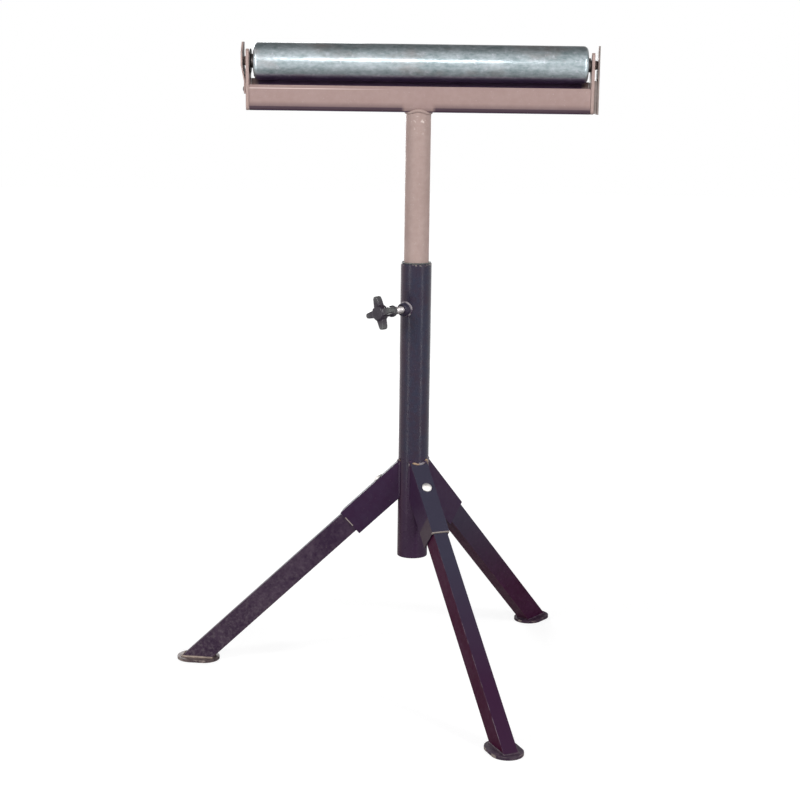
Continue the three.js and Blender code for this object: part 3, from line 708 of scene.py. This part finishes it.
def lip_line_and_highlight(s):
    """A pale line under the lip of the cradle's front, fading to the right: rubbed paint and a painted
    highlight.
    """
    corner = Vector(cradle_low)
    line = s.fade(s.away(corner + UP * LIP_HEIGHT, UP), LIP_HIGHLIGHT_WIDTH)
    front = s.fade(s.along(corner, BACK), LIP_HIGHLIGHT_DEPTH)
    left = s.fade(s.along(corner, RIGHT), LIP_HIGHLIGHT_REACH)
    return s.times(s.times(line, front), left), LIP_LINE_AND_HIGHLIGHT


def channel_shade(s):
    """Painted shade low in the channel under the roller."""
    centre = middle("cradle_channel")
    past_side = s.beyond(s.away(centre, BACK), CRADLE_HALF_DEPTH - CHANNEL_SHEET)
    past_end = s.beyond(s.away(centre, RIGHT), ROLLER_HALF_LENGTH)
    return s.times(s.fade(past_side, CHANNEL_SHADE_SIDE_REACH), s.fade(past_end, CHANNEL_SHADE_END_REACH)), CHANNEL_SHADE


def shaded_inside(s):
    """Painted shade: darker paint on the side that faces the end plate."""
    return s.fade(s.facing(RIGHT), KEEPER_SHADE_FACING), KEEPER_SHADE


def galvanised(name):
    """Dull zinc with soft spangle, faint stains and painted shade on its underside."""
    s = Shader(name)
    streaked = s.stretched(ZINC_STRETCH)
    clouds = s.maths("ADD", s.noise(ZINC_CLOUDS, streaked), s.noise(ZINC_SPANGLE, streaked))
    base = s.mix(s.fade(clouds, ZINC_FADE), *ZINC_TONES)
    base = s.mix(s.patches(ZINC_STAIN_PATCHES, 0.0, ZINC_PATCH_SHARE, streaked), base, ZINC_STAIN)
    base = s.mix(s.patches(ZINC_BLOOM_PATCHES, 0.0, ZINC_PATCH_SHARE), base, ZINC_BLOOM)
    # Painted shade: darker purple where the roller faces down
    base = s.mix(s.fade(s.facing(UP), ZINC_PAINTED_SHADE_FACING), base, ZINC_PAINTED_SHADE)
    s.grain(ZINC_GRAIN)
    return s.finish(base, s.patches(ZINC_SHEEN, *ZINC_ROUGHNESS), ZINC_METALLIC, ZINC_SPECULAR)


def metal(name, tones, roughness):
    """Plain or plated steel with fine smears."""
    s = Shader(name)
    base = s.mix(s.patches(STEEL_SMEARS), *tones)
    s.grain(STEEL_GRAIN)
    return s.finish(base, s.patches(STEEL_SHEEN, *roughness), 1.0, STEEL_SPECULAR)


def plastic(name):
    """Moulded black plastic, a little dusty, with a painted highlight that greys the ends of the knob's
    arms.
    """
    s = Shader(name)
    base = s.mix(s.patches(PLASTIC_CLOUDS), *PLASTIC_TONES)
    base = s.mix(s.fade(s.distance(middle("clamp_knob")), KNOB_HIGHLIGHT_REACH), base, PLASTIC_ARM_HIGHLIGHT)
    s.grain(PLASTIC_GRAIN)
    return s.finish(base, s.patches(PLASTIC_SHEEN, *PLASTIC_ROUGHNESS), 0.0, PLASTIC_SPECULAR)


def turned_about_column(points, azimuth):
    """Points drawn with X outwards, turned about the column's axis to their own side."""
    spin = Matrix.Rotation(azimuth, 3, "Z")
    return [AXIS + spin @ Vector(point) for point in points]


def sleeve_paint(name, azimuth):
    """Enamel of one sleeve, rubbed bare at its lower end where SLEEVE_WEAR lists it."""
    top = Vector((COLUMN_RADIUS, 0.0, SLEEVE_HEIGHT))
    further = top + Vector((math.cos(LEG_SLOPE), 0.0, -math.sin(LEG_SLOPE)))
    below = top + Vector((-math.sin(LEG_SLOPE), 0.0, -math.cos(LEG_SLOPE)))
    start, further, below = turned_about_column([top, further, below], azimuth)
    layers = [dust_and_lit_tint]
    if name == "sleeve_front":
        layers.append(rubbed_and_lit_patch(start, further - start))
    if name in SLEEVE_WEAR:
        layers.append(bare_end(start, further - start, below - start, SLEEVE_WEAR[name]))
    return paint(f"enamel_{name}", SLEEVE_TONES, SCRATCH, SLEEVE_FINISH, layers)


# Layers of each painted piece, from the lowest up
COLUMN_LAYERS = (dust_and_lit_tint, column_low_tone, lit_side_tint, worn_rim_and_glints)
SLEEVE_FLECKS = (weld_flecks(WELD_GREY, SLEEVE_GREY_PATCHES), weld_flecks(WELD_GOLD, SLEEVE_GOLD_PATCHES))
# On the boss the pale weld flecks are bare weld and painted highlights
BOSS_FLECKS_AND_GLINTS = (weld_flecks(WELD_GREY, BOSS_GLINT_PATCHES),)
CRADLE_LAYERS = (underside_shade, lip_line_and_highlight, channel_shade)
LEG_LAYERS = {
    "front": (dust_and_lit_tint, underside_bounce_light, rubbed_edge_and_highlight),
    "rear": (film, dust_and_lit_tint, underside_bounce_light),
    "left": (dust_and_lit_tint, scuffs, underside_bounce_light),
}

# Surfaces, by slot and for single pieces
BLACK = paint("black_enamel", COLUMN_TONES, SCRATCH, COLUMN_FINISH, COLUMN_LAYERS)
SLEEVE_WELD = paint("sleeve_weld", SLEEVE_TONES, SCRATCH, WELD_FINISH, SLEEVE_FLECKS)
BOSS_WELD = paint("boss_weld", SLEEVE_TONES, WELD_GREY, WELD_FINISH, BOSS_FLECKS_AND_GLINTS)
TAUPE = paint("taupe_enamel", TAUPE_TONES, TAUPE_SCUFF, TAUPE_FINISH)
# Painted shade: the stop and its spacer take a darker copy of the taupe paint
SHADED = paint("stop_shaded_enamel", SHADED_TONES, TAUPE_SCUFF, STOP_FINISH)
SCREW = metal("screw_plate", SCREW_TONES, SCREW_ROUGHNESS)
SLOT_LOOKS = {
    "black_paint": BLACK,
    "taupe_paint": TAUPE,
    "zinc": galvanised("galvanised_roller"),
    "bright_steel": metal("bright_plate", PLATE_TONES, PLATE_ROUGHNESS),
    "dark_steel": metal("dark_steel", OILED_TONES, OILED_ROUGHNESS),
    "black_plastic": plastic("knob_plastic"),
}
OWN_LOOKS = {
    "post_tube": paint("post_enamel", TAUPE_TONES, TAUPE_SCUFF, TAUPE_FINISH, (spatter,)),
    "cradle_channel": paint("cradle_enamel", CRADLE_TONES, TAUPE_SCUFF, TAUPE_FINISH, CRADLE_LAYERS),
    "keeper_plate_left": paint("keeper_enamel", TAUPE_TONES, TAUPE_SCUFF, TAUPE_FINISH, (shaded_inside,)),
    "stop_spacer_right": SHADED,
    "axle_stop_right": SHADED,
    "axle": paint("axle_steel", AXLE_TONES, BARE_STEEL, AXLE_FINISH),
}
for side in LEG_SIDES:
    foot = f"foot_{side}"
    OWN_LOOKS[foot] = paint(f"enamel_{foot}", FOOT_TONES[side], FOOT_RIM, FOOT_FINISH, (rubbed_rim,))
    leg = f"leg_{side}"
    OWN_LOOKS[leg] = paint(f"enamel_{leg}", LEG_TONES[side], SCRATCH, LEG_FINISH, LEG_LAYERS[side])
    sleeve = f"sleeve_{side}"
    OWN_LOOKS[sleeve] = sleeve_paint(sleeve, side_of(middle(foot)))


def round_edges(node, width):
    """Round the sharp edges of a solid."""
    bevel = node.modifiers.new("round_edges", "BEVEL")
    bevel.width = width
    bevel.segments = EDGE_SEGMENTS
    bevel.limit_method = "ANGLE"
    bevel.angle_limit = EDGE_ANGLE
    bevel.harden_normals = True
    bevel.miter_outer = "MITER_ARC"


def soften_knob():
    """Give the knob the soft edges of a moulded piece."""
    knob = nodes["clamp_knob"]
    remesh = knob.modifiers.new("even_mesh", "REMESH")
    remesh.mode = "VOXEL"
    remesh.voxel_size = KNOB_VOXEL
    remesh.use_smooth_shade = True
    soften = knob.modifiers.new("moulded_edges", "SMOOTH")
    soften.factor = KNOB_SMOOTHING
    soften.iterations = KNOB_SMOOTHING_STEPS


def dress_solids():
    """Give each solid its surface, smooth its facets and round its edges."""
    slots = {part["node"]: part["material_slot"] for part in frame["record"]["subparts"]}
    for name, node in nodes.items():
        mesh = node.data
        mesh.materials.clear()
        mesh.materials.append(OWN_LOOKS.get(name, SLOT_LOOKS[slots[name]]))
        if "custom_normal" in mesh.attributes:
            mesh.attributes.remove(mesh.attributes["custom_normal"])
        mesh.polygons.foreach_set("use_smooth", [True] * len(mesh.polygons))
        weld = node.modifiers.new("join_facets", "WELD")
        weld.merge_threshold = MERGE_DISTANCE
        for start, width in EDGE_WIDTHS.items():
            if name.startswith(start):
                round_edges(node, width)
    soften_knob()


def mesh_piece(name, verts, faces, material, body):
    """A detail piece of the object that moves with one body."""
    mesh = bpy.data.meshes.new(name)
    mesh.from_pydata(verts, [], faces)
    mesh.polygons.foreach_set("use_smooth", [True] * len(faces))
    mesh.materials.append(material)
    piece = bpy.data.objects.new(name, mesh)
    bpy.context.scene.collection.objects.link(piece)
    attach(piece, body)
    return piece


def evenly(points, step, closed):
    """Points at an even spacing along a path."""
    path = list(points)
    if closed:
        path.append(points[0])
    out = [path[0]]
    left = step
    for start, end in zip(path, path[1:]):
        length = (end - start).length
        along = left
        while along < length:
            out.append(start.lerp(end, along / length))
            along += step
        left = along - length
    return out


def bead(name, points, radius, material, closed=True, body="base"):
    """A rippled weld bead along a path."""
    path = evenly(points, BEAD_STEP, closed)
    count = len(path)
    verts = []
    faces = []
    phase = random.uniform(0.0, FULL_TURN)
    for index, point in enumerate(path):
        before = path[index - 1] if closed or index else path[0]
        after = path[(index + 1) % count] if closed or index < count - 1 else path[-1]
        tangent = (after - before).normalized()
        side = tangent.cross(BEAD_REFERENCE).normalized()
        lift = side.cross(tangent)
        length = index * BEAD_STEP
        ripple = 1.0 + BEAD_RIPPLE * math.sin(FULL_TURN * length / BEAD_RIPPLE_LENGTH)
        swell = 1.0 + BEAD_SWELL * math.sin(length / BEAD_SWELL_LENGTH + phase)
        swell += random.uniform(-BEAD_JITTER, BEAD_JITTER)
        from_tip = min(index, count - 1 - index)
        tip = 1.0 if closed else min(1.0, BEAD_TIP + from_tip / BEAD_TIP_STEPS)
        for corner in range(BEAD_SIDES):
            angle = FULL_TURN * corner / BEAD_SIDES
            ring = side * math.cos(angle) + lift * math.sin(angle)
            verts.append(point + ring * radius * ripple * swell * tip)
    rows = count if closed else count - 1
    for row in range(rows):
        here = row * BEAD_SIDES
        there = ((row + 1) % count) * BEAD_SIDES
        for corner in range(BEAD_SIDES):
            beside = (corner + 1) % BEAD_SIDES
            faces.append((here + corner, there + corner, there + beside, here + beside))
    if not closed:
        faces.append(tuple(range(BEAD_SIDES)))
        faces.append(tuple(reversed(range((count - 1) * BEAD_SIDES, count * BEAD_SIDES))))
    mesh_piece(name, verts, faces, material, body)


def sleeve_seam(azimuth):
    """Where a sleeve's top and sides meet the column."""
    points = []
    for step in range(SLEEVE_SEAM_STEPS + 1):
        across = SLEEVE_HALF_WIDTH * (1.0 - 2.0 * step / SLEEVE_SEAM_STEPS)
        out = math.sqrt(COLUMN_RADIUS**2 - across * across)
        rise = (COLUMN_RADIUS - out) * math.tan(LEG_SLOPE)
        points.append(Vector((out + SLEEVE_SEAM_OUT, across, SLEEVE_HEIGHT + rise)))
    drop = UP * (SLEEVE_DEPTH / math.cos(LEG_SLOPE))
    return turned_about_column([points[0] - drop, *points, points[-1] - drop], azimuth)


def foot_seam(azimuth):
    """Where a leg's cut end meets its foot plate."""
    half = LEG_HALF_DEPTH / math.sin(LEG_SLOPE)
    rise = FOOT_THICKNESS + FOOT_SEAM_RISE
    corners = [
        (FOOT_RADIUS - half, -LEG_HALF_WIDTH, rise),
        (FOOT_RADIUS + half, -LEG_HALF_WIDTH, rise),
        (FOOT_RADIUS + half, LEG_HALF_WIDTH, rise),
        (FOOT_RADIUS - half, LEG_HALF_WIDTH, rise),
    ]
    return turned_about_column(corners, azimuth)


def post_seam():
    """Where the post meets the rounded underside of the cradle."""
    flat = CRADLE_HALF_DEPTH - CRADLE_BEND
    points = []
    for step in range(POST_SEAM_STEPS):
        angle = FULL_TURN * step / POST_SEAM_STEPS
        y = POST_RADIUS * math.sin(angle)
        over = max(0.0, abs(y) - flat)
        rise = CRADLE_BEND - math.sqrt(CRADLE_BEND**2 - over * over)
        height = cradle_low[2] + rise - POST_SEAM_DROP
        points.append(AXIS + Vector((POST_RADIUS * math.cos(angle), y, height)))
    return points


def boss_seam():
    """Where the clamp boss meets the round of the column."""
    points = []
    for step in range(BOSS_SEAM_STEPS):
        angle = FULL_TURN * step / BOSS_SEAM_STEPS
        across = BOSS_RADIUS * math.cos(angle)
        out = math.sqrt(COLUMN_RADIUS**2 - across * across)
        points.append((out, across, STUD_MIDDLE.z + BOSS_RADIUS * math.sin(angle)))
    return turned_about_column(points, CLAMP_AZIMUTH)


def add_welds():
    """Beads at every welded joint."""
    for name in LEG_SIDES:
        azimuth = side_of(middle(f"foot_{name}"))
        foot_weld = paint(f"foot_weld_{name}", FOOT_WELD_TONES[name], FOOT_RIM, FOOT_WELD_FINISH)
        bead(f"weld_sleeve_{name}", sleeve_seam(azimuth), BEAD_RADIUS, SLEEVE_WELD, closed=False)
        bead(f"weld_foot_{name}", foot_seam(azimuth), SMALL_BEAD_RADIUS, foot_weld)
    bead("weld_boss", boss_seam(), BEAD_RADIUS, BOSS_WELD)
    bead("weld_post", post_seam(), POST_BEAD_RADIUS, TAUPE, body="head")


def add_thread():
    """The clamp screw with its thread, in place of the plain stud."""
    across = UP.cross(CLAMP_OUT)
    step = THREAD_PITCH / THREAD_STEPS_PER_TURN
    rows = int(STUD_LENGTH / step)
    start = STUD_MIDDLE - CLAMP_OUT * STUD_LENGTH / 2
    verts = []
    faces = []
    for row in range(rows + 1):
        out = row * step
        from_end = min(1.0, min(row, rows - row) / THREAD_STEPS_PER_TURN)
        share = THREAD_END_SHARE + (1.0 - THREAD_END_SHARE) * from_end
        for side in range(THREAD_SIDES):
            angle = FULL_TURN * side / THREAD_SIDES
            phase = (out / THREAD_PITCH - side / THREAD_SIDES) % 1.0
            groove = THREAD_DEPTH * abs(2.0 * phase - 1.0)
            ring = across * math.cos(angle) + UP * math.sin(angle)
            verts.append(start + CLAMP_OUT * out + ring * (STUD_RADIUS - groove * share))
    for row in range(rows):
        here = row * THREAD_SIDES
        there = here + THREAD_SIDES
        for side in range(THREAD_SIDES):
            beside = (side + 1) % THREAD_SIDES
            faces.append((here + side, here + beside, there + beside, there + side))
    faces.append(tuple(reversed(range(THREAD_SIDES))))
    faces.append(tuple(range(rows * THREAD_SIDES, (rows + 1) * THREAD_SIDES)))
    stud = mesh_piece("clamp_screw", verts, faces, SCREW, "knob")
    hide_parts("clamp_stud")


def add_floor():
    """A pale floor that keeps the shadow and turns white further out."""
    mesh = bpy.data.meshes.new("floor")
    signs = ((-1, -1), (1, -1), (1, 1), (-1, 1))
    corners = [(x * FLOOR_HALF, y * FLOOR_HALF, -FLOOR_DROP) for x, y in signs]
    mesh.from_pydata(corners, [], [(0, 1, 2, 3)])
    floor = bpy.data.objects.new("floor", mesh)
    bpy.context.scene.collection.objects.link(floor)
    s = Shader("floor")
    away = s.distance(Vector())
    direct, mirrored = s.background_rays()
    lift = s.times(direct, s.ramp(away, FLOOR_WHITE_FROM, FLOOR_WHITE_BY, FLOOR_LIFT, 1.0))
    # Seen in reflections the floor is darker near the stand: a painted pool of shade
    reflected_shade = s.times(mirrored, s.ramp(away, FLOOR_REFLECTED_SHADE_FROM, FLOOR_REFLECTED_SHADE_BY, FLOOR_REFLECTED_SHADE, 1.0))
    s.put(s.surface, "Emission Color", WHITE)
    s.put(s.surface, "Emission Strength", s.maths("ADD", lift, reflected_shade))
    mesh.materials.append(s.finish(FLOOR_COLOUR, FLOOR_ROUGHNESS, 0.0, 0.0))


def add_room():
    """A white room with a dim ceiling."""
    world = bpy.data.worlds.new("room")
    bpy.context.scene.world = world
    world.use_nodes = True
    room = Nodes(world.node_tree)
    height = room.dot(room.add("ShaderNodeTexCoord").outputs["Generated"], CEILING_AXIS)
    ceiling = room.ramp(height, CEILING_FROM, CEILING_BY, 1.0, CEILING_LEVEL)
    direct, mirrored = room.background_rays()
    level = room.times(ceiling, room.ramp(mirrored, 0.0, 1.0, AMBIENT, 1.0))
    background = room.tree.nodes["Background"]
    room.put(background, "Color", WHITE)
    room.put(background, "Strength", room.maths("MAXIMUM", direct, level))


def add_lamp(name, place, size, energy):
    """A soft lamp turned to the object."""
    light = bpy.data.lights.new(name, "AREA")
    light.shape = "RECTANGLE"
    light.energy = energy
    light.size, light.size_y = size
    lamp = bpy.data.objects.new(name, light)
    lamp.location = place
    lamp.rotation_euler = (Vector(LAMP_TARGET) - Vector(place)).to_track_quat("-Z", "Y").to_euler()
    bpy.context.scene.collection.objects.link(lamp)


def add_camera():
    """The camera of the photograph."""
    data = bpy.data.cameras.new("camera")
    data.lens = CAMERA_LENS
    data.sensor_width = SENSOR_WIDTH
    data.sensor_fit = "HORIZONTAL"
    data.clip_start = CAMERA_NEAR
    camera = bpy.data.objects.new("camera", data)
    turn = Matrix.Rotation(math.radians(CAMERA_HEADING), 4, "Z")
    tip = Matrix.Rotation(math.radians(CAMERA_LEVEL - CAMERA_PITCH), 4, "X")
    roll = Matrix.Rotation(math.radians(CAMERA_ROLL), 4, "Z")
    camera.matrix_world = Matrix.Translation(AXIS + Vector(CAMERA_PLACE)) @ turn @ tip @ roll
    bpy.context.scene.collection.objects.link(camera)
    bpy.context.scene.camera = camera


dress_solids()
add_welds()
add_thread()
add_floor()
add_room()
for lamp_name, lamp_values in LAMPS.items():
    add_lamp(lamp_name, **lamp_values)
add_camera()
bpy.context.scene.view_settings.view_transform = "Standard"
